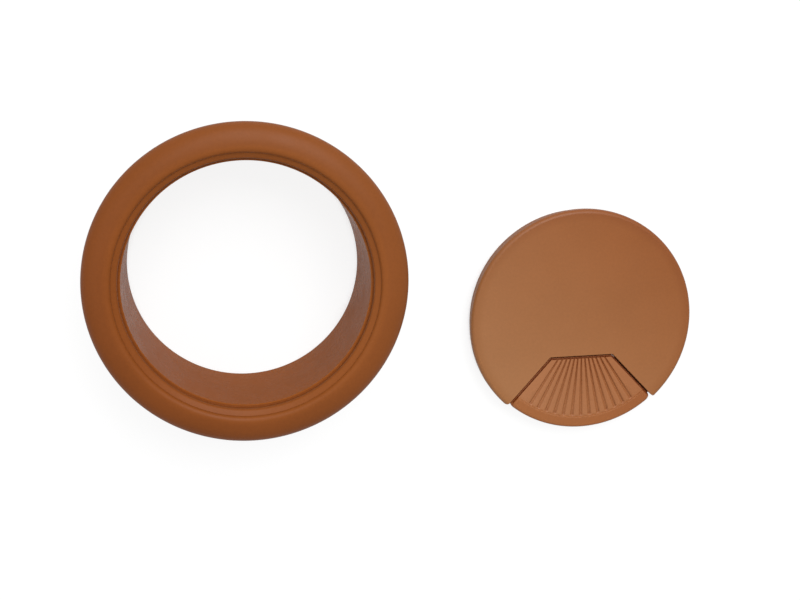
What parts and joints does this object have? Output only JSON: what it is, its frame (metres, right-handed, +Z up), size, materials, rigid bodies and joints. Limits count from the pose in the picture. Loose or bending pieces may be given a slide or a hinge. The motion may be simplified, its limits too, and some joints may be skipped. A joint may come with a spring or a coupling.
{
  "type": "desk grommet",
  "caption": "Round desk cable grommet: a flanged liner ring for a drilled hole, and a matching cover plate with a sprung, ribbed cable flap, laid face up beside it.",
  "frame": {"origin": "on the table that the two pieces lie on, in the middle of the ground they cover; the ring's axis is at x -37.0, y 4.325 mm and its flange's underside, the desk's surface when it is fitted, is at z 24.5 mm; the cover's axis is at x 45.1, y -13.075 mm", "axes": "+Z up, out of the desk, along the ring's and the cover's axes; +X from the ring towards the cover; the flap opens on the cover's -Y side"},
  "size_m": [0.146, 0.0806, 0.0283],
  "materials": {
    "ring_plastic": "reddish brown moulded plastic, fine satin grain",
    "cover_plastic": "reddish brown moulded plastic, fine satin grain",
    "flap_plastic": "reddish brown moulded plastic, fine satin grain, ribbed",
    "pin_steel": "drawn steel wire",
    "spring_steel": "drawn spring wire"
  },
  "bodies": {
    "ring": {"liner_ring": "ring_plastic"},
    "cover": {"cover_plate": "cover_plastic", "flap_hinge_pin": "pin_steel", "flap_spring": "spring_steel"},
    "flap": {"cable_flap": "flap_plastic"}
  },
  "joints": [
    {"name": "cover_turn", "type": "hinge", "parent": "ring", "child": "cover", "pos_m": [0.0451, -0.01307, 0], "axis": [0, 0, 1], "continuous": true},
    {"name": "flap_hinge", "type": "hinge", "parent": "cover", "child": "flap", "pos_m": [0.0451, -0.02107, 0.0022], "axis": [1, 0, 0], "range_deg": [0, 75], "stiffness_Nm_per_rad": 0.004, "springref_deg": -17.19, "deforming": ["flap_spring"]}
  ]
}
